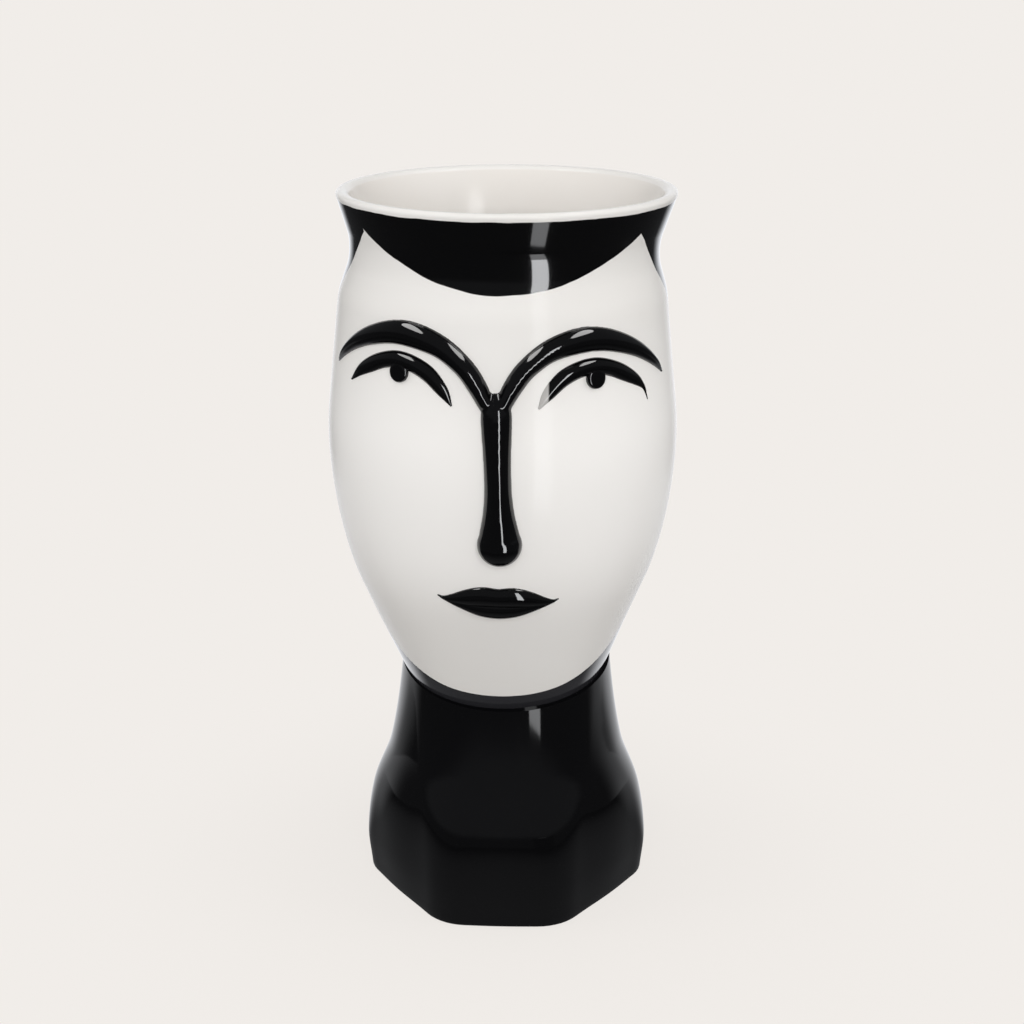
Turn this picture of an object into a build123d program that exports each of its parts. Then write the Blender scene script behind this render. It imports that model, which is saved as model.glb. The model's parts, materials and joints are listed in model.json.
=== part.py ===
from build123d import *
import os
from math import cos, radians, sin, sqrt, tan

# Face vase: a glazed earthenware flower vase in the shape of a head on a faceted neck.
# The origin is the middle of the foot's underside, +Z is up and the face looks towards -Y.
# Lengths are in millimetres and angles in degrees. An azimuth is counted from the middle
# of the face, and is positive towards +X.

# Whole vase
vase_height = 300.0
wall = 5.0
glaze_depth = 0.6  # the black glaze fills a shallow ground of this depth
overrun = 10.0  # how far a cut runs past what it cuts

# Joint between head and neck, a flat ring that leans forward under the chin
seat_height = 100.0
seat_tilt = 11.5

# Head, a turned form: straight runs that meet in wide roundings at cheek, brow and waist
crease_radius = 44.0
cheek_corner_radius = 75.3
cheek_corner_climb = 73.3  # above the seat
brow_corner_radius = 66.5
brow_corner_drop = 41.5  # below the rim
waist_corner_radius = 61.1
waist_corner_drop = 24.8
rim_radius = 69.2
rim_bevel = 1.4
# Shares of the inner wall's runs that the roundings below them take
cheek_rounding_share = 0.505
brow_rounding_share = 0.145
waist_rounding_share = 0.381
under_jaw_share = 0.25  # how far the jaw's line runs on below the seat before it is cut
hidden_runs = 6  # the roundings of the inner wall and under the glaze are this many straight runs

# Neck and foot, round under the chin and six-sided at the foot, with a flat to the front
neck_radius = 44.3
neck_setback = 3.8
foot_corner = 63.2  # from the axis to the corners on the left and right, before they are rounded
foot_front = 57.3  # from the axis to the front flat
foot_rounding = 19.0
swell_corner = 64.8
swell_height = 18.0
corner_count = 6
floor_thickness = 6.0
edge_bevel = 1.2
foot_ring_width = 8.0
foot_ring_depth = 2.0
round_share = 0.985  # corner rounding at the neck, as a share of its radius
# Shares of the climb from swell to seat, of the way in from swell to neck, of the change of
# corner rounding, and of the setback
neck_shares = (
    (0.28, 0.17, 0.19, 0.03),
    (0.53, 0.66, 0.56, 0.3),
    (1, 1, 1, 1),
)
# Round well inside the neck: shares of the climb from floor to seat and of the radius at the neck
well_shares = ((0, 1.2), (0.3, 1.17), (0.74, 1.02), (1, 1))

# Hair, black glaze round the back that frames the white face
band_drop = 6.0  # the white rim band reaches this far below the rim
peak_azimuth = 55.0
peak_drop = 7.5  # the face's upper corners below the band
fringe_drop = 27.4  # lowest point of the fringe below the band
jaw_paint_drop = 2.6  # the chin's white ends this far below the seat's middle
temple_reach = 19.0  # how far behind the axis the face reaches
# Places on the face's back edge: share of the way back, then share of the height from chin to peak
temple_shares = ((0.41, 0.87), (0.86, 0.72), (1, 0.5), (0.86, 0.29), (0.48, 0.12), (0.16, 0.025))

# Relief: every ridge is a row of bevelled sections on the head, by azimuth, height, width and rise
face_lean = 1.5  # the left half of the face sits a little higher
face_radius = 68.0  # of the head at the eyes, for the lean
ridge_sink = 0.8  # how deep the sections' flat backs lie in the wall
shoulder_share = 0.7  # where the sides of a section bulge, across
shoulder_rise_share = 0.64  # and outwards

brow_azimuth = 67.5
brow_crown_drop = 49.8  # below the rim
brow_drop = 28.0
brow_width = 10.6
brow_rise = 4.0
# Shares of reach, drop below the crown of the brow, width and rise, from the nose outwards
brow_row_shares = (
    (0.035, 0.86, 0.75, 1.0),
    (0.085, 0.58, 0.92, 1.1),
    (0.15, 0.34, 0.94, 1.1),
    (0.26, 0.12, 0.97, 1.05),
    (0.4, 0.01, 1.0, 1.0),
    (0.53, 0.005, 0.9, 0.95),
    (0.67, 0.09, 0.76, 0.85),
    (0.8, 0.235, 0.58, 0.7),
    (0.92, 0.435, 0.35, 0.5),
    (1, 0.62, 0.09, 0.15),
)

nose_top_drop = 17.2  # below the brows' crowns
nose_bulb_climb = 26.7  # above the mouth line
nose_bulb_radius = 8.5
nose_width = 10.3
nose_rise = 5.6
# Shares of the way down from top to bulb, of the width and of the rise
nose_row_shares = (
    (0, 0.7, 0.75),
    (0.14, 1.12, 0.93),
    (0.4, 1.02, 1.0),
    (0.62, 1.0, 1.07),
    (0.78, 1.16, 1.17),
    (0.9, 1.42, 1.3),
    (1, 1.62, 1.36),
)

lid_inner_azimuth = 14.0
lid_outer_azimuth = 55.5
lid_crown_drop = 10.2  # below the brow's crown
lid_drop = 15.0
lid_width = 6.6
lid_rise = 2.6
# Shares of the way out, of the drop below the lid's crown, of the width and of the rise
lid_row_shares = (
    (0, 1.0, 0.12, 0.15),
    (0.07, 0.66, 0.72, 0.6),
    (0.19, 0.27, 0.98, 0.9),
    (0.33, 0.06, 1.0, 1.0),
    (0.47, 0, 1.0, 1.0),
    (0.61, 0.09, 0.98, 0.95),
    (0.75, 0.28, 0.95, 0.8),
    (0.88, 0.51, 0.7, 0.6),
    (1, 0.83, 0.12, 0.15),
)

pupil_azimuth = 33.0
pupil_drop = 4.6  # below the lid's crown
pupil_radius = 4.1
pupil_rise = 1.9
pupil_sink = 0.45

mouth_azimuth = 22.0
mouth_climb = 44.3  # above the seat
upper_lip_width = 8.2
upper_lip_rise = 3.4
lower_lip_width = 8.0
lower_lip_rise = 3.8
# Shares of the reach, of the middle's height over the mouth line, of the width and of the rise
upper_lip_shares = (
    (0, 0.47, 0.93, 0.9),
    (0.25, 0.5, 1.0, 1.0),
    (0.5, 0.4, 0.8, 0.85),
    (0.77, 0.23, 0.4, 0.5),
    (1, 0.18, 0.08, 0.15),
)
lower_lip_shares = (
    (0, -0.316, 1.0, 1.0),
    (0.27, -0.268, 0.9, 0.95),
    (0.52, -0.135, 0.65, 0.75),
    (0.75, 0.005, 0.38, 0.45),
    (0.96, 0.149, 0.14, 0.15),
)

# Heights that follow from these
cheek_corner_height = seat_height + cheek_corner_climb
band_height = vase_height - band_drop
peak_height = band_height - peak_drop
fringe_height = band_height - fringe_drop
jaw_paint_height = seat_height - jaw_paint_drop
mouth_height = seat_height + mouth_climb
nose_bulb_height = mouth_height + nose_bulb_climb
brow_height = vase_height - brow_crown_drop
nose_top_height = brow_height - nose_top_drop
lid_height = brow_height - lid_crown_drop
pupil_height = lid_height - pupil_drop

LEFT = -1
RIGHT = 1

os.makedirs("parts", exist_ok=True)


# Head outline
def wall_corners(inset):
    """(radius, height) of the corners of the head's wall, less the inset, from under the jaw up to the rim."""
    way = crease_radius - cheek_corner_radius, seat_height - cheek_corner_height
    under_jaw = seat_height + way[1] * under_jaw_share
    corners = (
        (crease_radius + way[0] * under_jaw_share, under_jaw),
        (cheek_corner_radius, cheek_corner_height),
        (brow_corner_radius, vase_height - brow_corner_drop),
        (waist_corner_radius, vase_height - waist_corner_drop),
        (rim_radius, vase_height),
    )
    # Each straight side as (slope, radius that it would have at height zero), moved inwards
    sides = []
    for (low_radius, low), (high_radius, high) in zip(corners, corners[1:]):
        slope = (high_radius - low_radius) / (high - low)
        sides.append((slope, low_radius - slope * low - inset * sqrt(1 + slope**2)))
    places = [(sides[0][1] + sides[0][0] * under_jaw, under_jaw)]
    for (slope, base), (next_slope, next_base) in zip(sides, sides[1:]):
        height = (base - next_base) / (next_slope - slope)
        places.append((base + slope * height, height))
    places.append((sides[-1][1] + sides[-1][0] * vase_height, vase_height))
    return places


def roundings(inset):
    """Radii at cheek, brow and waist, from the shares of the inner wall's runs that they take."""
    corners = [Vector(corner) for corner in wall_corners(wall)]
    radii = []
    shares = cheek_rounding_share, brow_rounding_share, waist_rounding_share
    for low, corner, high, share in zip(corners, corners[1:], corners[2:], shares):
        below, above = corner - low, high - corner
        radii.append(share * above.length / tan(radians(below.get_angle(above)) / 2))
    cheek, brow, waist = radii
    return cheek + wall - inset, brow + wall - inset, waist - wall + inset


def head_outline(inset, runs=0):
    """Half section of the head, out to its wall less the inset, its roundings in straight runs where given."""
    places = wall_corners(inset)
    with BuildSketch(Plane.XZ) as half:
        with BuildLine():
            side = FilletPolyline(*places, radius=roundings(inset), mode=Mode.PRIVATE if runs else Mode.ADD)
            if runs:
                arcs = side.edges().filter_by(GeomType.CIRCLE)
                stops = [arc @ (stop / runs) for arc in arcs for stop in range(runs + 1)]
                Polyline(places[0], *sorted(stops, key=lambda stop: stop.Y), places[-1])
            Polyline(places[-1], (0, places[-1][1]), (0, places[0][1]), places[0])
        make_face()
    return half.sketch


with BuildPart() as head_form:
    revolve(head_outline(0), axis=Axis.Z)

seat = Plane(origin=(0, 0, seat_height), z_dir=(0, -sin(radians(seat_tilt)), cos(radians(seat_tilt))))


def on_head(azimuth, height):
    """The point of the head's outer wall at an azimuth and height, and the way out of the wall there."""
    outwards = Vector(sin(radians(azimuth)), -cos(radians(azimuth)), 0)
    hits = head_form.part.find_intersection_points(Axis((0, 0, height), outwards))
    return max(hits, key=lambda hit: hit[0].dot(outwards))


# Hair glaze
peak, _ = on_head(peak_azimuth, peak_height)
chin, _ = on_head(0, jaw_paint_height)
reach = cheek_corner_radius + overrun

with BuildPart() as face_island:
    with BuildSketch(Plane.YZ):
        with BuildLine():
            temples = [(peak.Y, peak.Z)]
            for back, climb in temple_shares:
                depth = chin.Y + back * (temple_reach - chin.Y)
                temples.append((depth, chin.Z + climb * (peak.Z - chin.Z)))
            temples.append((chin.Y, chin.Z))
            Spline(*temples)
            Polyline((chin.Y, chin.Z), (-reach, chin.Z), (-reach, peak.Z), (peak.Y, peak.Z))
        make_face()
    extrude(amount=reach, both=True)
    with BuildSketch(Plane.XZ):
        with BuildLine():
            ThreePointArc((-peak.X, peak.Z), (0, fringe_height), (peak.X, peak.Z))
            Polyline((peak.X, peak.Z), (peak.X, vase_height), (-peak.X, vase_height), (-peak.X, peak.Z))
        make_face()
    extrude(amount=reach, mode=Mode.SUBTRACT)

with BuildPart() as hair_glaze:
    revolve(head_outline(0), axis=Axis.Z)
    revolve(head_outline(glaze_depth, hidden_runs), axis=Axis.Z, mode=Mode.SUBTRACT)
    split(bisect_by=seat, keep=Keep.TOP)
    split(bisect_by=Plane.XY.offset(band_height), keep=Keep.BOTTOM)
    add(face_island.part, mode=Mode.SUBTRACT)
hair_glaze.part.label = "hair_glaze"
export_step(hair_glaze.part, "parts/hair_glaze.step")

# Neck and foot
half_corner = 180 / corner_count


def neck_sections():
    """(height, corner, front, rounding, setback) of the neck's sections, from the foot to above the seat."""
    swell_front = swell_corner * foot_front / foot_corner
    neck_corner = neck_radius / cos(radians(half_corner))
    neck_rounding = neck_radius * round_share
    sections = [(edge_bevel, foot_corner, foot_front, foot_rounding, 0)]
    sections.append((swell_height, swell_corner, swell_front, foot_rounding, 0))
    for climb, draw, ease, back in neck_shares:
        height = swell_height + climb * (seat_height - swell_height)
        corner = swell_corner + draw * (neck_corner - swell_corner)
        front = swell_front + draw * (neck_radius - swell_front)
        rounding = foot_rounding + ease * (neck_rounding - foot_rounding)
        sections.append((height, corner, front, rounding, back * neck_setback))
    top = seat_height + neck_radius * tan(radians(seat_tilt)) + overrun
    sections.append((top, neck_corner, neck_radius, neck_rounding, neck_setback))
    return sections


def neck_section(section, inset=0):
    """One rounded six-sided section at its height, with its sides moved in by the inset."""
    height, corner, front, rounding, setback = section
    facet = neck_radius * tan(radians(half_corner))
    slant = sqrt(front**2 + (corner - facet) ** 2)
    facet += ((corner - facet) - slant) * inset / front
    corner -= slant * inset / front
    front -= inset
    with BuildSketch(Plane((0, setback, height))) as outline:
        corners = [(corner, 0), (facet, front), (-facet, front), (-corner, 0), (-facet, -front), (facet, -front)]
        Polygon(*corners, align=None)
        fillet(outline.vertices(), radius=rounding - inset)
    return outline.sketch


well_floor = floor_thickness + foot_ring_depth
well_way = Plane(origin=(0, 0, well_floor), z_dir=(0, neck_setback, seat_height - well_floor))
with BuildPart() as neck_well:
    with BuildSketch(Plane(origin=well_way.origin, x_dir=well_way.x_dir, z_dir=-well_way.y_dir)):
        with BuildLine():
            well_side = [(0, 0)]
            for climb, share in well_shares:
                well_side.append((share * (neck_radius - wall), climb * (seat_height - well_floor)))
            well_side.append((neck_radius - wall, seat_height - well_floor + neck_radius * tan(radians(seat_tilt))))
            well_side.append((0, well_side[-1][1]))
            Polyline(*well_side, close=True)
        make_face()
    revolve(axis=Axis(well_way.origin, well_way.z_dir))

underside = (0,) + neck_sections()[0][1:]
with BuildPart() as neck_foot:
    loft([neck_section(underside, edge_bevel).face(), neck_section(neck_sections()[0]).face()], ruled=True)
    loft([neck_section(section).face() for section in neck_sections()])
    add(neck_well.part, mode=Mode.SUBTRACT)
    split(bisect_by=seat, keep=Keep.BOTTOM)
    extrude(neck_section(underside, foot_ring_width), amount=foot_ring_depth, mode=Mode.SUBTRACT)
neck_foot.part.label = "neck_foot"
export_step(neck_foot.part, "parts/neck_foot.step")


# Relief
def ridge_sections(rows):
    """(plane, half width, rise) across a ridge, at each (azimuth, height, width, rise) of its rows."""
    seated = []
    for azimuth, height, width, rise in rows:
        lean = face_radius * sin(radians(azimuth)) * tan(radians(face_lean))
        seated.append(on_head(azimuth, height - lean))
    sections = []
    for index, (point, outwards) in enumerate(seated):
        before = seated[max(index - 1, 0)][0]
        after = seated[min(index + 1, len(seated) - 1)][0]
        along = (after - before).normalized()
        across = outwards.cross(along).normalized()
        width, rise = rows[index][2:]
        sections.append((Plane(origin=point, x_dir=across, z_dir=along), width / 2, rise))
    return sections


def ridge(rows):
    """A ridge along the rows, with a crest, bevelled sides and a flat back that is let into the wall."""
    with BuildPart() as form:
        for plane, half, rise in ridge_sections(rows):
            shoulder = half * shoulder_share
            shoulder_rise = rise * shoulder_rise_share
            with BuildSketch(plane):
                with BuildLine():
                    Polyline((-half, -ridge_sink), (-shoulder, shoulder_rise), (0, rise))
                    Polyline((0, rise), (shoulder, shoulder_rise), (half, -ridge_sink), (-half, -ridge_sink))
                make_face()
        loft()
    return form.part


def brow_rows(side):
    """Rows of one brow, from inside the nose out to its tip."""
    rows = []
    for way, drop, width, rise in brow_row_shares:
        height = brow_height - drop * brow_drop
        rows.append((side * way * brow_azimuth, height, width * brow_width, rise * brow_rise))
    return rows


def nose_rows():
    """Rows of the nose, from between the brows down to its bulb."""
    rows = []
    for way, width, rise in nose_row_shares:
        height = nose_top_height + way * (nose_bulb_height - nose_top_height)
        rows.append((0, height, width * nose_width, rise * nose_rise))
    return rows


def lid_rows(side):
    """Rows of one eyelid, from its inner to its outer corner."""
    rows = []
    for way, drop, width, rise in lid_row_shares:
        azimuth = lid_inner_azimuth + way * (lid_outer_azimuth - lid_inner_azimuth)
        rows.append((side * azimuth, lid_height - drop * lid_drop, width * lid_width, rise * lid_rise))
    return rows


def lip_rows(shares, full_width, full_rise):
    """Rows of one lip, from its left to its right corner."""
    rows = []
    for side, half in ((LEFT, shares[:0:-1]), (RIGHT, shares)):
        for way, lift, width, rise in half:
            height = mouth_height + lift * full_width
            rows.append((side * way * mouth_azimuth, height, width * full_width, rise * full_rise))
    return rows


# Brows and nose, one Y-shaped ridge
bulb_point, bulb_outwards = on_head(0, nose_bulb_height)
with BuildPart() as brow_nose_ridge:
    add(ridge(nose_rows()))
    with Locations(Plane(origin=bulb_point - bulb_outwards * ridge_sink, z_dir=bulb_outwards)):
        Sphere(nose_bulb_radius, arc_size1=0, align=(Align.CENTER, Align.CENTER, Align.MIN))
    add(ridge(brow_rows(LEFT)))
    add(ridge(brow_rows(RIGHT)))
brow_nose_ridge.part.label = "brow_nose_ridge"
export_step(brow_nose_ridge.part, "parts/brow_nose_ridge.step")
relief = [brow_nose_ridge.part]

# Eyelids, and the pupils that hang from them like small drops
for side, name in ((LEFT, "left"), (RIGHT, "right")):
    with BuildPart() as eyelid:
        add(ridge(lid_rows(side)))
    eyelid.part.label = name + "_eyelid"
    export_step(eyelid.part, "parts/" + eyelid.part.label + ".step")

    lean = face_radius * sin(radians(side * pupil_azimuth)) * tan(radians(face_lean))
    point, outwards = on_head(side * pupil_azimuth, pupil_height - lean)
    with BuildPart() as pupil:
        with BuildSketch(Plane(origin=point - outwards * pupil_sink, z_dir=outwards)):
            Circle(pupil_radius)
        extrude(amount=pupil_sink + pupil_rise)
        add(eyelid.part, mode=Mode.SUBTRACT)
    pupil.part.label = name + "_pupil"
    export_step(pupil.part, "parts/" + pupil.part.label + ".step")
    relief += [eyelid.part, pupil.part]

# Lips, that meet in the mouth line
with BuildPart() as upper_lip:
    add(ridge(lip_rows(upper_lip_shares, upper_lip_width, upper_lip_rise)))
upper_lip.part.label = "upper_lip"
export_step(upper_lip.part, "parts/upper_lip.step")

with BuildPart() as lower_lip:
    add(ridge(lip_rows(lower_lip_shares, lower_lip_width, lower_lip_rise)))
    add(upper_lip.part, mode=Mode.SUBTRACT)
lower_lip.part.label = "lower_lip"
export_step(lower_lip.part, "parts/lower_lip.step")
relief += [upper_lip.part, lower_lip.part]

# Head vessel, open at the rim and at the throat, with the glaze and the relief let into its wall
with BuildPart() as head_vessel:
    revolve(head_outline(0), axis=Axis.Z)
    revolve(head_outline(wall, hidden_runs), axis=Axis.Z, mode=Mode.SUBTRACT)
    split(bisect_by=seat, keep=Keep.TOP)
    chamfer(head_vessel.faces().sort_by(Axis.Z)[-1].edges(), length=rim_bevel)
    add(hair_glaze.part, mode=Mode.SUBTRACT)
    for piece in relief:
        add(piece, mode=Mode.SUBTRACT)
head_vessel.part.label = "head_vessel"
export_step(head_vessel.part, "parts/head_vessel.step")
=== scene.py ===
import json
from math import atan2, cos, pi, radians, sin, tan

import bmesh
import bpy
from mathutils import Matrix, Vector

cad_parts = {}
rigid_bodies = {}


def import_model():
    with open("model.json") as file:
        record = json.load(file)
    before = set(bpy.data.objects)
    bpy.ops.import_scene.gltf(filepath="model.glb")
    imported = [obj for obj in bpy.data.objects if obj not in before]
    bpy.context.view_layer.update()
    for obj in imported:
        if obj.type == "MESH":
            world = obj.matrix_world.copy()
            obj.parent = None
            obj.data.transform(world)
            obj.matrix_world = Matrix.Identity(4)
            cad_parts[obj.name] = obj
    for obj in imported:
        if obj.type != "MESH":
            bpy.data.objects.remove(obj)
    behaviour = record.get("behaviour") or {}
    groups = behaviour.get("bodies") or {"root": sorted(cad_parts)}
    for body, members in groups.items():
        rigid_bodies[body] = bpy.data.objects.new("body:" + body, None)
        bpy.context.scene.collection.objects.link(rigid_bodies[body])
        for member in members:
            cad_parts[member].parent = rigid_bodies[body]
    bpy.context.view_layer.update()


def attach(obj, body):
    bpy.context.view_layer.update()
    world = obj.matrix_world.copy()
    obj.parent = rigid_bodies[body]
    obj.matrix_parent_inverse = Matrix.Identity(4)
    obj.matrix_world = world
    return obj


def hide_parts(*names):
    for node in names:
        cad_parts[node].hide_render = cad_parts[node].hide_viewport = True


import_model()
scene = bpy.context.scene

# Camera
# A long lens on a stand in front of the vase, a little above its rim and looking down at it.
# The turn and the dip are in radians.
camera_turn = 0.0401
camera_dip = 0.29634
camera_reach = 0.75
camera_height = 0.39225

lens = bpy.data.cameras.new("product_camera")
lens.sensor_width = 36
lens.lens = 65.54
lens.shift_x = 0.00576
stand = bpy.data.objects.new("product_camera", lens)
stand.location = (camera_reach * sin(camera_turn), -camera_reach * cos(camera_turn), camera_height)
stand.rotation_euler = (pi / 2 - camera_dip, 0, camera_turn)
scene.collection.objects.link(stand)
scene.camera = stand

# Studio
# The vase stands before a pale backdrop, under soft banks. The room behind the camera is dark but
# for one tall strip lamp, so the black glaze stays black with bright edges.
backdrop_colour = (0.879, 0.847, 0.815, 1)
mirrored_colour = (0.88, 0.9, 0.94, 1)
filling_colour = (1, 0.99, 0.98, 1)
bank_colour = (1, 0.99, 0.975)
strip_colour = (0.97, 0.98, 1)
chin = (0, -0.05, 0.15)
cheeks = (0, 0, 0.2)
scene.view_settings.view_transform = "Standard"


def blank_sheet(owner):
    """The node sheet of a world or a material, wiped clean."""
    owner.use_nodes = True
    owner.node_tree.nodes.clear()
    return owner.node_tree


def feed(socket, value):
    """Links a node's input to an output, or sets it to a value."""
    if isinstance(value, bpy.types.NodeSocket):
        socket.id_data.links.new(value, socket)
    else:
        socket.default_value = value


def wire(tree, kind, place, *inputs, fields=(), **named):
    """A node at a place on the sheet, its fields set and its inputs fed in their order or by name."""
    made = tree.nodes.new(kind)
    made.location = place
    for name, value in dict(fields).items():
        setattr(made, name, value)
    for socket, value in zip(made.inputs, inputs):
        feed(socket, value)
    for name, value in named.items():
        feed(made.inputs[name.replace("_", " ")], value)
    return made


def mapped(tree, place, value, source, target, ends="SMOOTHSTEP"):
    """A value led from one range into another, with soft ends unless they are said to be LINEAR."""
    fields = {"interpolation_type": ends}
    return wire(tree, "ShaderNodeMapRange", place, value, *source, *target, fields=fields).outputs[0]


def reckoned(tree, place, operation, *values):
    """What a sum, a difference or the like makes of some values."""
    return wire(tree, "ShaderNodeMath", place, *values, fields={"operation": operation}).outputs[0]


def chosen(tree, place, share, first, second):
    """The first shader where the share is 0, the second where it is 1."""
    return wire(tree, "ShaderNodeMixShader", place, share, first, second).outputs[0]


room = bpy.data.worlds.new("studio_room")
scene.world = room
sheet = blank_sheet(room)
rays = wire(sheet, "ShaderNodeLightPath", (-900, 300)).outputs
sight = wire(sheet, "ShaderNodeTexCoord", (-1100, -200)).outputs["Generated"]
ways = wire(sheet, "ShaderNodeSeparateXYZ", (-920, -200), sight).outputs
# What the glaze mirrors: the pale backdrop behind the vase, the dark room before and beside it
backdrop = mapped(sheet, (-740, -60), ways["Y"], (0.78, 0.96), (0.0, 1.2))
upper_room = mapped(sheet, (-740, -320), ways["Z"], (0.0, 0.15), (0.05, 0.13))
around = reckoned(sheet, (-540, -160), "MAXIMUM", backdrop, upper_room)
mirrored = wire(sheet, "ShaderNodeBackground", (-300, -160), mirrored_colour, around).outputs[0]
# What fills the shadows: more from above than from below
from_above = mapped(sheet, (-540, 60), ways["Z"], (-0.5, 0.3), (0.2, 0.51))
filling = wire(sheet, "ShaderNodeBackground", (-300, 60), filling_colour, from_above).outputs[0]
seen = wire(sheet, "ShaderNodeBackground", (-300, 260), backdrop_colour, 1).outputs[0]
unseen = chosen(sheet, (-80, 0), rays["Is Glossy Ray"], filling, mirrored)
whole_room = chosen(sheet, (120, 120), rays["Is Camera Ray"], unseen, seen)
wire(sheet, "ShaderNodeOutputWorld", (320, 120), whole_room)


def lamp(name, size, place, aim, watts, colour=bank_colour, glossy=True, diffuse=True, shape="RECTANGLE"):
    """A flat lamp at a place, turned towards its aim."""
    light = bpy.data.lights.new(name, "AREA")
    light.shape = shape
    light.size, light.size_y = size
    light.energy = watts
    light.color = colour
    hung = bpy.data.objects.new(name, light)
    hung.location = place
    hung.rotation_euler = (Vector(aim) - Vector(place)).to_track_quat("-Z", "Y").to_euler()
    hung.visible_glossy = glossy
    hung.visible_diffuse = diffuse
    scene.collection.objects.link(hung)
    return hung


def strip_lamp(name, size, place, watts):
    """An upright lamp, level with its aim, that shows only as a highlight in the glaze."""
    return lamp(name, size, place, (0, 0, place[2]), watts, strip_colour, diffuse=False)


for side, word in ((-1, "left"), (1, "right")):
    place = (side * 0.75, -0.15, 1.6)
    lamp("overhead_" + word, (1.0, 0.5), place, chin, 10, diffuse=False, shape="ELLIPSE")
lamp("overhead_fill", (0.8, 0.8), (0, -0.15, 1.72), chin, 2.5, glossy=False)
lamp("front_bank", (1.6, 1.2), (0.15, -1.9, 0.8), cheeks, 23, glossy=False)
lamp("left_bank", (0.9, 1.4), (-1.5, -0.3, 0.7), cheeks, 7, glossy=False)
lamp("right_bank", (0.9, 1.4), (1.5, -0.2, 0.7), cheeks, 7, glossy=False)
tall_strip = strip_lamp("tall_strip", (0.39, 2.1), (0.865, -1.648, 0.3), 28)
strip_foot = strip_lamp("strip_foot", (0.39, 0.6), (0.865, -1.648, -1.05), 2.2)
short_strip = strip_lamp("short_strip", (0.27, 0.095), (0.65, -1.05, 0.0675), 0.3)

# Table
# A round top of pale paper. The camera sees it in the backdrop's tone with a soft shadow round the
# foot. The glaze mirrors it pale behind the vase, and darker away from the foot before it.
table_radius = 0.36
paper_colour = (0.84, 0.81, 0.78, 1)
bounce_colour = (0.34, 0.33, 0.32, 1)
card_colour = (0.88, 0.89, 0.92, 1)


def object_place(tree, x, y):
    """A material's Object coordinates, and their X, Y and Z."""
    where = wire(tree, "ShaderNodeTexCoord", (x, y)).outputs["Object"]
    return where, wire(tree, "ShaderNodeSeparateXYZ", (x + 180, y), where).outputs


def from_foot(tree, where, axes, x, y):
    """The distance of a spot from the foot, and its bearing: 1 right behind the foot, -1 right before it."""
    fields = {"operation": "LENGTH"}
    distance = wire(tree, "ShaderNodeVectorMath", (x, y), where, fields=fields).outputs["Value"]
    return distance, reckoned(tree, (x + 180, y), "DIVIDE", axes["Y"], distance)


paper = bpy.data.materials.new("table_paper")
sheet = blank_sheet(paper)
rays = wire(sheet, "ShaderNodeLightPath", (-900, 500)).outputs
where, axes = object_place(sheet, -1280, 200)
distance, bearing = from_foot(sheet, where, axes, -920, 200)
fibre = wire(sheet, "ShaderNodeTexNoise", (-700, -200), Vector=where, Scale=900.0, Detail=3.0).outputs[0]
tooth = wire(sheet, "ShaderNodeBump", (-500, -200), Strength=0.05, Distance=0.0002, Height=fibre).outputs[0]
lit = wire(sheet, "ShaderNodeBsdfDiffuse", (-300, -60), paper_colour, Normal=tooth).outputs[0]
glow = wire(sheet, "ShaderNodeEmission", (-300, 100), backdrop_colour, 1).outputs[0]
# The shadow shows near the foot and fades out before the table's edge
fading = mapped(sheet, (-500, 60), distance, (0.06, 0.22), (0.14, 0.0))
looked_at = chosen(sheet, (-80, 60), fading, glow, lit)
behind = mapped(sheet, (-560, 440), bearing, (0.2, 0.72), (0.0, 1.0))
before = mapped(sheet, (-560, 240), distance, (0.07, 0.3), (0.15, 0.03))
tone = reckoned(sheet, (-440, 320), "ADD", behind, before)
sheen = wire(sheet, "ShaderNodeEmission", (-300, 280), card_colour, tone).outputs[0]
bounce = wire(sheet, "ShaderNodeBsdfDiffuse", (-300, 420), bounce_colour).outputs[0]
unseen = chosen(sheet, (-80, 320), rays["Is Glossy Ray"], bounce, sheen)
whole_top = chosen(sheet, (140, 200), rays["Is Camera Ray"], unseen, looked_at)
wire(sheet, "ShaderNodeOutputMaterial", (340, 200), whole_top)

table_form = bmesh.new()
bmesh.ops.create_circle(table_form, cap_ends=True, segments=96, radius=table_radius)
table_mesh = bpy.data.meshes.new("table_top")
table_form.to_mesh(table_mesh)
table_form.free()
table_mesh.materials.append(paper)
table = bpy.data.objects.new("table_top", table_mesh)
scene.collection.objects.link(table)

# Low screen and flag
# Two bits of card that only the glaze mirrors, and whose tops fade: a screen half round the table,
# bright behind the vase, and a dark flag that keeps the short strip off the foot.
screen_radius, screen_height = 0.358, 0.11
screen_side = -0.01
flag_width, flag_height = 0.16, 0.055
flag_place = (0.158, -0.255, 0.0285)
flag_turn = radians(31.8)


def reflector(name, form, strength):
    """A staging card of a form, whose brightness goes by its bearing from the vase."""
    paint = bpy.data.materials.new(name)
    tree = blank_sheet(paint)
    where, axes = object_place(tree, -900, 0)
    bearing = from_foot(tree, where, axes, -540, 0)[1]
    tone = mapped(tree, (-180, 0), bearing, (0.05, 0.72), strength)
    card = wire(tree, "ShaderNodeEmission", (0, 0), card_colour, tone).outputs[0]
    fade = mapped(tree, (-180, 260), axes["Z"], (screen_height / 2, screen_height), (0.0, 1.0))
    nothing = wire(tree, "ShaderNodeBsdfTransparent", (0, -120)).outputs[0]
    faded = chosen(tree, (180, 60), fade, card, nothing)
    wire(tree, "ShaderNodeOutputMaterial", (360, 0), faded)
    mesh = bpy.data.meshes.new(name)
    form.to_mesh(mesh)
    form.free()
    mesh.materials.append(paint)
    stood = bpy.data.objects.new(name, mesh)
    stood.visible_camera = False
    stood.visible_diffuse = False
    stood.visible_transmission = False
    scene.collection.objects.link(stood)
    return stood


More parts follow.
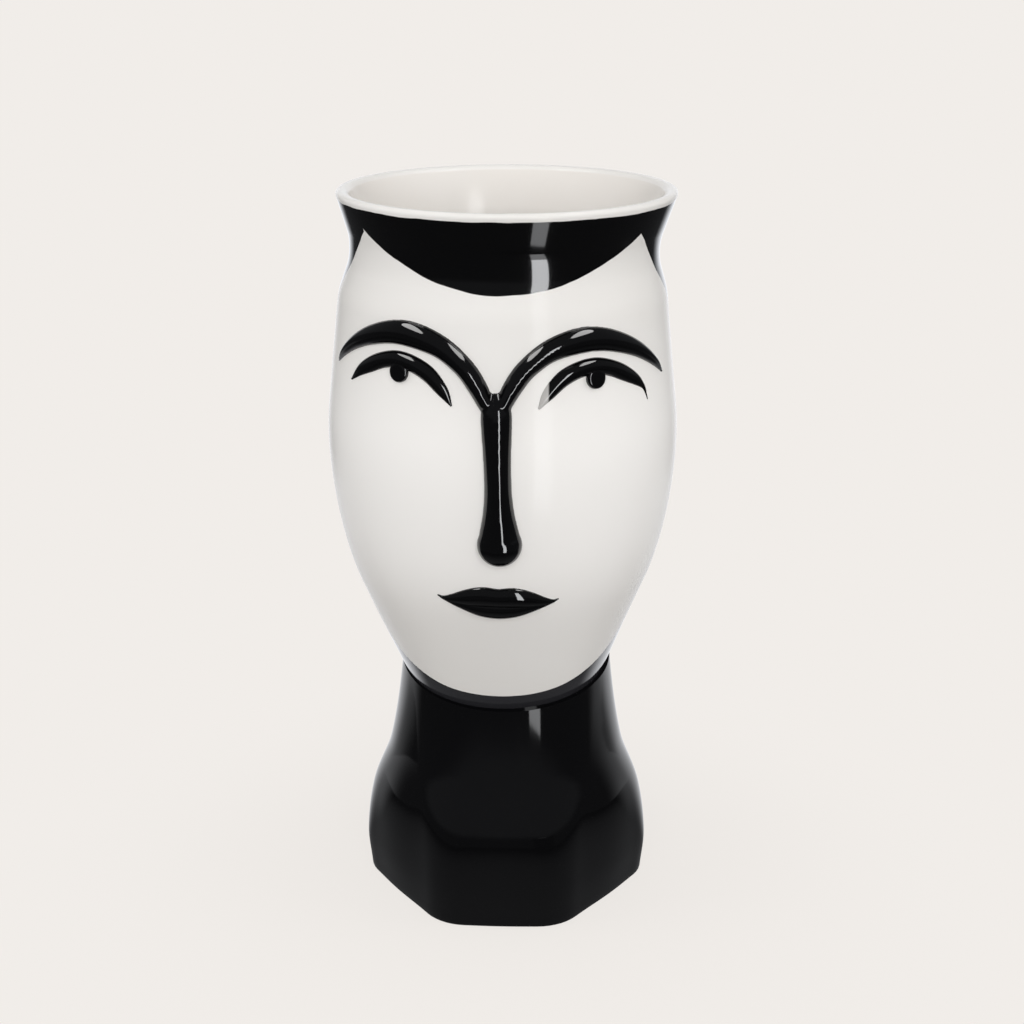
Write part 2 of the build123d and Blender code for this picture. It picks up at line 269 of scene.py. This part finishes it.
screen = bmesh.new()
ring = bmesh.ops.create_circle(screen, segments=96, radius=screen_radius)["verts"]
front_half = [vertex for vertex in ring if vertex.co.y < screen_side]
bmesh.ops.delete(screen, geom=front_half, context="VERTS")
raised = bmesh.ops.extrude_edge_only(screen, edges=screen.edges[:])["geom"]
screen_top = [part for part in raised if isinstance(part, bmesh.types.BMVert)]
bmesh.ops.translate(screen, verts=screen_top, vec=(0, 0, screen_height))
reflector("low_screen", screen, (0.05, 1.0)).visible_shadow = False

flag = bmesh.new()
upright = Matrix.Rotation(flag_turn, 3, "Z") @ Matrix.Rotation(pi / 2, 3, "X")
bmesh.ops.create_grid(flag, x_segments=1, y_segments=1, size=0.5)
bmesh.ops.scale(flag, verts=flag.verts, vec=(flag_width, flag_height, 1))
bmesh.ops.rotate(flag, verts=flag.verts, matrix=upright)
bmesh.ops.translate(flag, verts=flag.verts, vec=flag_place)
reflector("foot_flag", flag, (0.03, 0.03))

# Neck and foot
# The lower half of the casting: a neck that is round under the chin and widens to a six-sided
# foot with soft corners. Black gloss glaze outside and in the well.
neck_radius = 0.0443
neck_height = 0.1
neck_setback = 0.0038
neck_wall = 0.005
# Height, corner, front flat, corner rounding and setback of the sections
neck_stations = (
    (0.0012, 0.0632, 0.0573, 0.019, 0),
    (0.018, 0.0648, 0.05875, 0.019, 0),
    (0.041, 0.0625, 0.0563, 0.0237, 0.0001),
    (0.0615, 0.0558, 0.0492, 0.0328, 0.0011),
    (neck_height, 0.05115, neck_radius, 0.04364, neck_setback),
    (0.119, 0.05115, neck_radius, 0.04364, neck_setback),
)
neck_steps = 40
hoop_sides = 144
facet_half = neck_radius * tan(radians(30))
facet_swell = 0.02, 0.1
swell_height = 0.05
# Height and inset of the hoops from the recess under the foot, over the ring it stands on, to the edge
underside_rows = (
    (0.002, 0.0085), (0.0015, 0.0082), (0.0003, 0.0078), (0, 0.0072),
    (0, 0.0016), (0.0002, 0.0007), (0.0006, 0.0002),
)
well_floor = 0.008
# Share of the well's radius, and height, down to the middle of its floor
well_rows = (
    (1, 0.119), (1, neck_height), (1.02, 0.076), (1.09, 0.056), (1.17, 0.0356),
    (1.2, 0.0125), (1.17, 0.009), (1.1, well_floor), (0.02, well_floor),
)
# The seat between neck and head leans forward under the chin
seat_height = 0.099
seat_tilt = radians(11.5)
seat_way = Vector((0, -sin(seat_tilt), cos(seat_tilt)))


def smooth_run(rows, way):
    """A row at a way along the first column of the rows, on a smooth curve through all of them."""
    way = min(max(way, rows[0][0]), rows[-1][0])
    index = max(i for i in range(len(rows) - 1) if rows[i][0] <= way)
    spots = rows[max(index - 1, 0)], rows[index], rows[index + 1], rows[min(index + 2, len(rows) - 1)]
    span = spots[2][0] - spots[1][0]
    t = (way - spots[1][0]) / span
    found = [way]
    for before, start, end, after in list(zip(*spots))[1:]:
        rise_in = (end - before) / (spots[2][0] - spots[0][0]) * span if index else end - start
        rise_out = end - start
        if index + 2 < len(rows):
            rise_out = (after - start) / (spots[3][0] - spots[1][0]) * span
        found.append(
            start * (2 * t**3 - 3 * t**2 + 1) + end * (3 * t**2 - 2 * t**3)
            + rise_in * (t**3 - 2 * t**2 + t) + rise_out * (t**3 - t**2)
        )
    return found


def six_sided_reach(angle, corner, front, rounding):
    """How far the rounded six-sided outline lies from its middle, in a direction."""
    angle = abs((angle + pi / 2) % pi - pi / 2)
    ray = Vector((cos(angle), sin(angle)))
    slant = Vector((front, corner - facet_half)).normalized()
    slant_gap = slant.x * corner
    front_meet = (slant_gap - rounding - slant.y * (front - rounding)) / slant.x
    corners = Vector(((slant_gap - rounding) / slant.x, 0)), Vector((front_meet, front - rounding))
    if atan2(corners[1].y + rounding, corners[1].x) <= angle:
        return front / ray.y
    low, high = [atan2(touch.y, touch.x) for touch in (spot + slant * rounding for spot in corners)]
    if low <= angle <= high:
        return slant_gap / slant.dot(ray)
    spot = corners[0] if angle < low else corners[1]
    along = spot.dot(ray)
    return along + max(rounding**2 - (spot.length_squared - along**2), 0) ** 0.5


def hoop(form, points):
    """A closed loop of the form's edges, led through the points."""
    made = bmesh.ops.create_circle(form, segments=len(points), radius=1)["verts"]
    for vertex, point in zip(made, points):
        vertex.co = point
    return list({edge for vertex in made for edge in vertex.link_edges})


def level_hoop(form, reaches, setback, height):
    """A level hoop round the neck, by its reach in each direction."""
    points = []
    for index, reach in enumerate(reaches):
        angle = 2 * pi * index / len(reaches)
        points.append(Vector((reach * cos(angle), reach * sin(angle) + setback, height)))
    return hoop(form, points)


def six_sided_hoop(form, station, height=None, inset=0.0):
    """A hoop round the neck at one of its sections, moved in by the inset."""
    level, corner, front, rounding, setback = station
    swell = facet_swell[0] + (facet_swell[1] - facet_swell[0]) * min(level / swell_height, 1)
    reaches = []
    for index in range(hoop_sides):
        angle = 2 * pi * index / hoop_sides
        proud = swell * (front - rounding) * (1 - cos(6 * angle)) / 2
        reaches.append(six_sided_reach(angle, corner, front, rounding) + proud - inset)
    return level_hoop(form, reaches, setback, level if height is None else height)


def cut_off(form, spot, way):
    """Cuts off what lies past a plane and gives back the open edges of the cut."""
    whole = list(form.verts) + list(form.edges) + list(form.faces)
    cut = bmesh.ops.bisect_plane(form, geom=whole, plane_co=spot, plane_no=way, clear_outer=True)["geom_cut"]
    return [edge for edge in cut if isinstance(edge, bmesh.types.BMEdge)]


def finished(form, name, *glazes):
    """Makes a form a smooth piece that rides on the vase's body, in its glazes."""
    bmesh.ops.remove_doubles(form, verts=form.verts, dist=1e-7)
    bmesh.ops.recalc_face_normals(form, faces=form.faces)
    for face in form.faces:
        face.smooth = True
    for edge in form.edges:
        edge.smooth = edge.calc_face_angle(0) < radians(50)
    mesh = bpy.data.meshes.new(name)
    form.to_mesh(mesh)
    form.free()
    for glaze in glazes:
        mesh.materials.append(glaze)
    piece = bpy.data.objects.new(name, mesh)
    scene.collection.objects.link(piece)
    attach(piece, "root")
    return piece


neck = bmesh.new()
hoops = [level_hoop(neck, [0.001] * hoop_sides, 0, underside_rows[0][0])]
for height, inset in underside_rows:
    hoops.append(six_sided_hoop(neck, neck_stations[0], height, inset))
neck_bottom, neck_top = neck_stations[0][0], neck_stations[-1][0]
for step in range(neck_steps + 1):
    level = neck_bottom + step * (neck_top - neck_bottom) / neck_steps
    hoops.append(six_sided_hoop(neck, smooth_run(neck_stations, level)))
for share, height in well_rows:
    setback = neck_setback * (height - well_floor) / (neck_height - well_floor)
    hoops.append(level_hoop(neck, [share * (neck_radius - neck_wall)] * hoop_sides, setback, height))
for lower, upper in zip(hoops, hoops[1:]):
    bmesh.ops.bridge_loops(neck, edges=lower + upper)
bmesh.ops.holes_fill(neck, edges=hoops[0] + hoops[-1], sides=0)
bmesh.ops.triangle_fill(neck, edges=cut_off(neck, (0, 0, seat_height), seat_way), use_beauty=True)

# Fired glaze: its surface flows into low ripples, and its tone drifts a little over the body
flow = bpy.data.node_groups.new("fired_glaze", "ShaderNodeTree")
for name, value in (("Ripple Scale", 30.0), ("Ripple Depth", 0.35), ("Seed", 0.0)):
    flow.interface.new_socket(name, in_out="INPUT", socket_type="NodeSocketFloat").default_value = value
for name, kind in (("Drift", "NodeSocketFloat"), ("Normal", "NodeSocketVector")):
    flow.interface.new_socket(name, in_out="OUTPUT", socket_type=kind)
given = wire(flow, "NodeGroupInput", (-900, 0)).outputs
where = wire(flow, "ShaderNodeTexCoord", (-900, 300)).outputs["Object"]
seeded = {"noise_dimensions": "4D"}
drift = wire(
    flow, "ShaderNodeTexNoise", (-600, 300), fields=seeded,
    Vector=where, W=given["Seed"], Scale=14.0, Detail=2.0,
)
ripple = wire(
    flow, "ShaderNodeTexNoise", (-600, -160), fields=seeded,
    Vector=where, W=given["Seed"], Scale=given["Ripple Scale"], Detail=1.0, Roughness=0.35,
)
rippled = wire(
    flow, "ShaderNodeBump", (-320, -160),
    Strength=given["Ripple Depth"], Distance=0.001, Height=ripple.outputs[0],
)
wire(flow, "NodeGroupOutput", (0, 0), Drift=drift.outputs[0], Normal=rippled.outputs[0])


def fired_surface(tree, place, seed, ripple_scale, depth):
    """The drift and the normal of fired glaze, with one material's own values."""
    values = {"Seed": seed, "Ripple_Scale": ripple_scale, "Ripple_Depth": depth}
    return wire(tree, "ShaderNodeGroup", place, fields={"node_tree": flow}, **values).outputs


def blend(tree, place, share, first, second):
    """The first colour where the share is 0, the second where it is 1."""
    made = wire(tree, "ShaderNodeMix", place, share, fields={"data_type": "RGBA"})
    feed(made.inputs[6], first)
    feed(made.inputs[7], second)
    return made.outputs[2]


def black_glaze(name, seed, ripple_scale, depth):
    """Black gloss glaze, a shade bluer where its coat drifts lean."""
    glaze = bpy.data.materials.new(name)
    tree = blank_sheet(glaze)
    fired = fired_surface(tree, (-700, 0), seed, ripple_scale, depth)
    colour = blend(tree, (-400, 200), fired["Drift"], (0.001, 0.001, 0.0011, 1), (0.0028, 0.0028, 0.0034, 1))
    rough = mapped(tree, (-400, 0), fired["Drift"], (0.3, 0.7), (0.04, 0.075), "LINEAR")
    gloss = wire(
        tree, "ShaderNodeBsdfPrincipled", (-100, 100),
        Base_Color=colour, Roughness=rough, IOR=1.52, Normal=fired["Normal"],
    )
    wire(tree, "ShaderNodeOutputMaterial", (200, 100), gloss.outputs[0])
    return glaze


def flagged(strip, piece, state):
    """Keeps a strip lamp off a piece with EXCLUDE, or keeps it to that piece alone with INCLUDE."""
    flags = strip.light_linking.receiver_collection
    if flags is None:
        flags = bpy.data.collections.new(strip.name + "_flags")
        strip.light_linking.receiver_collection = flags
    flags.objects.link(piece)
    flags.collection_objects[len(flags.objects) - 1].light_linking.link_state = state


neck_piece = finished(neck, "neck_foot_glazed", black_glaze("neck_black_glaze", 1.0, 26.0, 0.3))
# The neck mirrors the short strip in place of the tall one
flagged(tall_strip, neck_piece, "EXCLUDE")
flagged(strip_foot, neck_piece, "EXCLUDE")
flagged(short_strip, neck_piece, "INCLUDE")
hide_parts("neck_foot")

# Head vessel and hair
# The upper half of the casting: a turned head, open at the rim, with a round lip. White glaze
# inside and on the face; the hair is black glaze brushed round the back and over the brow.
wall = 0.005
lathe_steps = 256
# Radius and height where the outline's straight runs meet, and how far each corner is rounded:
# under the chin, cheek, brow, waist, flare
outline = (
    (0.036175, 0.081675, 0),
    (0.0753, 0.1733, 0.0385),
    (0.0665, 0.2585, 0.003),
    (0.0611, 0.2752, 0.0074),
    (0.07181, 0.308, 0),
)
# The rim's plane dips to the front
rim_height = 0.2989
rim_dip = radians(1.3)
rim_rounding = 0.0024
# Height, and how far to the right the turned form lies there
sway_rows = (
    (0.08, -0.0002), (0.1, -0.0006), (0.125, -0.0013), (0.16, -0.0013),
    (0.25, -0.0014), (0.275, -0.0006), (0.29, 0.0002), (0.31, 0.0006),
)

head = bmesh.new()
profile = [head.verts.new((radius, 0, height)) for radius, height, rounding in outline]
for pair in zip(profile, profile[1:]):
    head.edges.new(pair)
profile_top = profile[-1]
for corner, (radius, height, rounding) in list(zip(profile, outline))[1:-1]:
    bmesh.ops.bevel(
        head, geom=[corner], offset=rounding, offset_type="OFFSET", segments=16,
        profile=0.5, affect="VERTICES", material=-1,
    )
long_runs = [edge for edge in head.edges if edge.calc_length() > 0.008 and profile_top not in edge.verts]
bmesh.ops.subdivide_edges(head, edges=long_runs, cuts=9)
outer_line = sorted((vertex.co.copy() for vertex in head.verts), key=lambda point: point.z)


def wall_radius(height):
    """The head's outer radius at a height."""
    for low, high in zip(outer_line, outer_line[1:]):
        if low.z <= height <= high.z:
            return low.x + (high.x - low.x) * (height - low.z) / (high.z - low.z)
    return outer_line[-1].x


def sway(height):
    """How far the barrel of the head sits to one side of its rim and neck, as it came out of the mould."""
    return smooth_run(sway_rows, height)[1]


def on_wall(azimuth, height):
    """A point of the head's outer wall, and the way out of the wall there."""
    step = 0.0005
    slope = (wall_radius(height + step) - wall_radius(height - step)) / (2 * step)
    across = Vector((sin(azimuth), -cos(azimuth), 0))
    spot = across * wall_radius(height) + Vector((sway(height), 0, height))
    return spot, (across - Vector((0, 0, slope))).normalized()


half_line = list(head.verts) + list(head.edges)
bmesh.ops.spin(
    head, geom=half_line, cent=(0, 0, 0), axis=(0, 0, 1), angle=2 * pi, steps=lathe_steps, use_merge=True,
)
bmesh.ops.recalc_face_normals(head, faces=head.faces)
bmesh.ops.solidify(head, geom=list(head.faces), thickness=-wall)
for vertex in head.verts:
    vertex.co.x += sway(vertex.co.z)
bmesh.ops.triangle_fill(head, edges=cut_off(head, (0, 0, seat_height), -seat_way), use_beauty=True)
rim = cut_off(head, (0, 0, rim_height), Vector((0, -sin(rim_dip), cos(rim_dip))))
bmesh.ops.bridge_loops(head, edges=rim)
bmesh.ops.bevel(
    head, geom=rim, offset=rim_rounding, offset_type="OFFSET", segments=6,
    profile=0.5, affect="EDGES", material=-1,
)

# Where the black ends: under the jaw, beside the face, over the brow and below the rim
jaw_height, temple_top = 0.0974, 0.2865
hair_reach = -0.0434, 0.019
fringe_middle, fringe_radius = (0.0007, 0.3471, 0), 0.0805
band_height = 0.2959
brush_wander, brush_edge = 0.0007, 0.00012
# Share of the climb from jaw to temple, and of the way back that the face reaches there
temple_rows = (
    (0, 0), (0.025, 0.16), (0.12, 0.48), (0.29, 0.86), (0.5, 1.0),
    (0.72, 0.86), (0.85, 0.56), (0.905, 0.42), (0.95, 0.285), (1.0, 0.095),
)
# Painted light: the black is painted lighter grey under the jaw as a painted sheen, and the white is painted
# brighter over the cheeks as a painted pool of light
jaw_sheen_heights = 0.112, 0.098
deep_black, jaw_sheen_grey = (0.0016, 0.0016, 0.0018, 1), (0.019, 0.019, 0.022, 1)
cheek_light_low, cheek_light_high = (0.118, 0.17), (0.2, 0.265)
cheek_lit_white = (0.872, 0.86, 0.845, 1)


def drifting_white(tree, x, y, fired, cool, warm):
    """White glaze whose tone goes from a cool to a warm one with the drift."""
    warmth = mapped(tree, (x, y), fired["Drift"], (0.35, 0.7), (0.0, 1.0), "LINEAR")
    return blend(tree, (x + 240, y), warmth, cool, warm)


glazed = bpy.data.materials.new("head_glaze")
sheet = blank_sheet(glazed)
where, axes = object_place(sheet, -1900, 0)
fired = fired_surface(sheet, (-700, -400), 3.0, 24.0, 0.22)

# The brush line wanders by a fraction of a millimetre
brush = wire(sheet, "ShaderNodeTexNoise", (-1700, 300), Vector=where, Scale=60.0, Detail=2.0).outputs[0]
wander = mapped(sheet, (-1500, 300), brush, (0.0, 1.0), (-brush_wander, brush_wander), "LINEAR")
# Side of the face: how far back it reaches, by height
climb = mapped(sheet, (-1500, 100), axes["Z"], (jaw_height, temple_top), (0.0, 1.0), "LINEAR")
temple = wire(sheet, "ShaderNodeFloatCurve", (-1300, 100), Value=climb)
temple_line = temple.mapping.curves[0]
for point, row in zip(temple_line.points, temple_rows):
    point.location = row
for row in temple_rows[2:]:
    temple_line.points.new(*row)
temple.mapping.update()
reach_back = mapped(sheet, (-1000, 100), temple.outputs[0], (0.0, 1.0), hair_reach, "LINEAR")
beside = reckoned(sheet, (-800, 100), "SUBTRACT", axes["Y"], reach_back)
# Fringe: a wide arc over the brow
front_view = wire(sheet, "ShaderNodeCombineXYZ", (-1500, -150), axes["X"], axes["Z"]).outputs[0]
from_arc = wire(
    sheet, "ShaderNodeVectorMath", (-1300, -150), front_view, fringe_middle, fields={"operation": "DISTANCE"},
).outputs["Value"]
fringe = reckoned(sheet, (-1000, -150), "SUBTRACT", fringe_radius, from_arc)
jaw = reckoned(sheet, (-1000, -320), "SUBTRACT", jaw_height, axes["Z"])
hair = reckoned(sheet, (-600, 60), "MAXIMUM", beside, fringe)
hair = reckoned(sheet, (-420, 60), "MAXIMUM", hair, jaw)
# The white band under the rim dips with it
dipped = reckoned(sheet, (-780, -120), "MULTIPLY_ADD", axes["Y"], tan(rim_dip), band_height)
band = reckoned(sheet, (-600, -120), "SUBTRACT", dipped, axes["Z"])
below = reckoned(sheet, (-420, -80), "MINIMUM", hair, band)
wandered = reckoned(sheet, (-240, -80), "ADD", below, wander)
painted = mapped(sheet, (-60, -80), wandered, (-brush_edge, brush_edge), (0.0, 1.0), "LINEAR")

plain_white = drifting_white(sheet, -400, -460, fired, (0.795, 0.783, 0.766, 1), (0.77, 0.755, 0.734, 1))
# Over the cheeks the white is painted brighter: a painted pool of light
from_chin = mapped(sheet, (-400, -640), axes["Z"], cheek_light_low, (0.0, 1.0))
to_brow = mapped(sheet, (-400, -780), axes["Z"], cheek_light_high, (1.0, 0.0))
cheek_light_share = reckoned(sheet, (-220, -700), "MULTIPLY", from_chin, to_brow)
white = blend(sheet, (60, -500), cheek_light_share, plain_white, cheek_lit_white)
# Under the jaw the black is painted lighter grey: a painted sheen
jaw_sheen_share = mapped(sheet, (-160, -260), axes["Z"], jaw_sheen_heights, (0.0, 1.0))
black = blend(sheet, (60, -260), jaw_sheen_share, deep_black, jaw_sheen_grey)
colour = blend(sheet, (320, 60), painted, white, black)
gloss = wire(
    sheet, "ShaderNodeBsdfPrincipled", (560, 60),
    Base_Color=colour, Roughness=0.13, IOR=1.5, Specular_IOR_Level=0.05,
    Coat_Weight=painted, Coat_Roughness=0.05, Coat_IOR=1.5, Normal=fired["Normal"],
)
wire(sheet, "ShaderNodeOutputMaterial", (860, 60), gloss.outputs[0])

inside = bpy.data.materials.new("inside_glaze")
sheet = blank_sheet(inside)
fired = fired_surface(sheet, (-700, 0), 4.0, 24.0, 0.2)
white = drifting_white(sheet, -400, 0, fired, (0.80, 0.78, 0.755, 1), (0.775, 0.745, 0.71, 1))
gloss = wire(
    sheet, "ShaderNodeBsdfPrincipled", (100, 0),
    Base_Color=white, Roughness=0.14, IOR=1.5, Specular_IOR_Level=0.15, Normal=fired["Normal"],
)
wire(sheet, "ShaderNodeOutputMaterial", (400, 0), gloss.outputs[0])

head_piece = finished(head, "head_glazed", glazed, inside)
for face in head_piece.data.polygons:
    outwards = face.normal.dot(Vector((face.center.x, face.center.y, 0)))
    face.material_index = 0 if outwards > 0 or face.normal.z > 0.5 else 1
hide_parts("head_vessel", "hair_glaze")

# Brows and nose
# One Y-shaped ridge, raised in the mould: two arched brows run together into the nose, that
# swells to a round tip. Each ridge has a soft crest. Black gloss glaze.
# Azimuths are in degrees from the middle of the face, and count up to the right.
face_lean = tan(radians(1.5))
face_radius = 0.068
# Shares of the brow's reach, of its drop below its crown, of its width and of its rise
brow_rows = (
    (0.035, 0.87, 0.62, 1.0), (0.085, 0.6, 0.74, 1.1), (0.15, 0.357, 0.78, 1.1), (0.26, 0.128, 0.86, 1.05),
    (0.4, 0.012, 0.97, 1.0), (0.53, 0.01, 0.9, 0.95), (0.67, 0.108, 0.77, 0.85), (0.8, 0.262, 0.6, 0.7),
    (0.92, 0.47, 0.37, 0.5), (1, 0.66, 0.09, 0.15),
)
brow_reach = 0, 67.5
brow_crown, brow_drop = 0.2502, 0.028
brow_width, brow_rise = 0.0106, 0.004
# Shares of the way down the nose, of its width and of its rise
nose_rows = (
    (0, 0.25, 0.1), (0.06, 0.75, 0.62), (0.14, 1.12, 0.93), (0.4, 1.02, 1.0),
    (0.62, 1.0, 1.07), (0.78, 1.16, 1.17), (0.9, 1.42, 1.3), (1, 1.62, 1.36),
)
nose_top, nose_tip = 0.2309, 0.171
nose_askew = 0.35, 1.3
nose_width, nose_rise = 0.0107, 0.0056
bulb_radius, bulb_sink = 0.0088, 0.0008


def lean(azimuth):
    """How much lower the face sits at an azimuth than with no lean."""
    return sin(azimuth) * face_lean * face_radius


def ridge_station(azimuth, height, width, rise):
    """The place on the wall, the way out of it, the width and the rise of a ridge's station."""
    azimuth = radians(azimuth)
    spot, out = on_wall(azimuth, height - lean(azimuth))
    return spot, out, width, rise


def ridge(form, stations, steps, crest=1.6, sink=0.0008, facets=28):
    """A ridge along the stations, closed at both ends: a soft crest, steep sides, a back inside the wall."""
    numbered = [(index, *station) for index, station in enumerate(stations)]
    spots = []
    for step in range(steps + 1):
        spots.append(ridge_station(*smooth_run(numbered, (len(stations) - 1) * step / steps)[1:]))
    rings = []
    for index, (spot, out, width, rise) in enumerate(spots):
        along = (spots[min(index + 1, steps)][0] - spots[max(index - 1, 0)][0]).normalized()
        across = out.cross(along).normalized()
        points = []
        for facet in range(facets):
            angle = 2 * pi * facet / facets
            side, up = cos(angle), sin(angle)
            lift = rise * (1 - abs(side) ** crest) ** 0.72 if up > 0 else -sink
            points.append(spot + across * side * width / 2 + out * lift)
        rings.append(hoop(form, points))
    for low, high in zip(rings, rings[1:]):
        bmesh.ops.bridge_loops(form, edges=low + high)
    bmesh.ops.holes_fill(form, edges=rings[0] + rings[-1], sides=0)


def arched(side, rows, reach, crown, drop, width, rise):
    """Stations of a brow or a lid on one side, from the shares in its rows."""
    stations = []
    for way, fall, broad, high in rows:
        azimuth = side * (reach[0] + way * (reach[1] - reach[0]))
        stations.append((azimuth, crown - fall * drop, broad * width, high * rise))
    return stations


brows = bmesh.new()
for side in (-1, 1):
    ridge(brows, arched(side, brow_rows, brow_reach, brow_crown, brow_drop, brow_width, brow_rise), 72)
nose_line = []
for way, broad, high in nose_rows:
    azimuth = nose_askew[0] + way * (nose_askew[1] - nose_askew[0])
    nose_line.append((azimuth, nose_top - way * (nose_top - nose_tip), broad * nose_width, high * nose_rise))
ridge(brows, nose_line, 60, crest=1.9)
tip_spot, tip_out = on_wall(radians(nose_askew[1]), nose_tip)
bulb = bmesh.ops.create_uvsphere(brows, u_segments=64, v_segments=40, radius=bulb_radius)["verts"]
bmesh.ops.translate(brows, verts=bulb, vec=tip_spot - tip_out * bulb_sink)

brow_piece = finished(brows, "brows_and_nose", black_glaze("brow_black_glaze", 5.0, 60.0, 0.25))
union = brow_piece.modifiers.new("cast_in_one", "REMESH")
union.mode = "VOXEL"
union.voxel_size = 0.00045
union.use_smooth_shade = True
eased = brow_piece.modifiers.new("eased_joins", "SMOOTH")
eased.factor = 0.5
eased.iterations = 18
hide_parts("brow_nose_ridge")

# Eyelids and pupils
# Each eye is a raised crescent lid with pointed corners and a small round stud under it for the
# pupil, cast on the face and glazed black. The right lid ends in a thin outward flick.
# Shares of the lid's reach, of its drop below its crown, of its width and of its rise
lid_rows = (
    (0, 1.0, 0.12, 0.15), (0.07, 0.66, 0.72, 0.6), (0.19, 0.27, 0.98, 0.9), (0.33, 0.06, 1.0, 1.0),
    (0.47, 0, 1.0, 1.0), (0.61, 0.09, 0.98, 0.95), (0.75, 0.28, 0.95, 0.8), (0.88, 0.51, 0.7, 0.6),
    (1, 0.83, 0.12, 0.15),
)
flick_rows = lid_rows[:-1] + ((0.965, 0.74, 0.3, 0.3), (0.995, 0.95, 0.12, 0.15), (1.01, 1.1, 0.06, 0.1))
lid_reach = 13.6, 55.5
lid_crown, lid_drop = 0.24, 0.015
lid_width, lid_rise = 0.0066, 0.0026
pupil_height, pupil_radius = 0.2354, 0.0041
pupil_depth, pupil_sink, pupil_rounding = 0.00235, 0.00045, 0.0013
grey_tip_edge = 0.0184, 0.019
grey_tip_colour = (0.52, 0.51, 0.5, 1)

lid_glaze = black_glaze("lid_black_glaze", 7.0, 70.0, 0.22)
# The right lid's inner point is coloured pale grey
grey_tip_glaze = black_glaze("grey_tip_lid_glaze", 8.0, 70.0, 0.22)
sheet = grey_tip_glaze.node_tree
where, axes = object_place(sheet, -1100, 400)
grey_tip = mapped(sheet, (-700, 400), axes["X"], grey_tip_edge, (1.0, 0.0), "LINEAR")
black_input = sheet.nodes["Principled BSDF"].inputs["Base Color"]
feed(black_input, blend(sheet, (-250, 300), grey_tip, black_input.links[0].from_socket, grey_tip_colour))

for side, word, rows, glaze, pupil_azimuth in (
    (-1, "left", lid_rows, lid_glaze, -32.2), (1, "right", flick_rows, grey_tip_glaze, 33),
):
    lid = bmesh.new()
    ridge(lid, arched(side, rows, lid_reach, lid_crown, lid_drop, lid_width, lid_rise), 56)
    lid_piece = finished(lid, word + "_eyelid_glazed", glaze)
    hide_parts(word + "_eyelid")

    azimuth = radians(pupil_azimuth)
    spot, out = on_wall(azimuth, pupil_height - lean(azimuth))
    turned = Matrix.Translation(spot - out * pupil_sink) @ out.to_track_quat("Z", "Y").to_matrix().to_4x4()
    pupil = bmesh.new()
    bmesh.ops.create_cone(
        pupil, cap_ends=True, segments=48, radius1=pupil_radius, radius2=pupil_radius,
        depth=pupil_depth, matrix=turned @ Matrix.Translation((0, 0, pupil_depth / 2)),
    )
    top_edges = [edge for edge in pupil.edges if min((end.co - spot).dot(out) for end in edge.verts) > 0.001]
    bmesh.ops.bevel(
        pupil, geom=top_edges, offset=pupil_rounding, offset_type="OFFSET", segments=8,
        profile=0.5, affect="EDGES", material=-1,
    )
    pupil_piece = finished(pupil, word + "_pupil_glazed", lid_glaze)
    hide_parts(word + "_pupil")

# Lips
# Two raised lips that overlap a little, the upper with a shallow dip in its middle and corners
# that flick up and run out to points. Black gloss glaze.
mouth_middle, mouth_reach = 0.6, 21.4
mouth_height = 0.1443
# From the middle to a corner: shares of the reach, of the width above the mouth line, of the width
# and of the rise
upper_rows = (
    (0, 0.31, 0.946, 0.95), (0.25, 0.337, 1.0, 1.0), (0.5, 0.258, 0.82, 0.85), (0.77, 0.15, 0.42, 0.5),
    (0.93, 0.135, 0.17, 0.25), (1.03, 0.22, 0.05, 0.12),
)
lower_rows = (
    (0, -0.208, 1.003, 1.0), (0.27, -0.165, 0.917, 0.95), (0.52, -0.064, 0.672, 0.75),
    (0.75, 0.028, 0.378, 0.45), (0.96, 0.129, 0.122, 0.15),
)
lip_glaze = black_glaze("lip_black_glaze", 9.0, 70.0, 0.2)
for word, rows, width, rise in (("upper", upper_rows, 0.0098, 0.0034), ("lower", lower_rows, 0.0092, 0.0037)):
    both_halves = [(-way, *rest) for way, *rest in rows[:0:-1]] + list(rows)
    stations = []
    for way, lift, broad, high in both_halves:
        azimuth = mouth_middle + way * mouth_reach
        stations.append((azimuth, mouth_height + lift * width, broad * width, high * rise))
    lip = bmesh.new()
    ridge(lip, stations, 64, crest=2.0)
    lip_piece = finished(lip, word + "_lip_glazed", lip_glaze)
    if word == "lower":
        flagged(tall_strip, lip_piece, "EXCLUDE")
    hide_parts(word + "_lip")
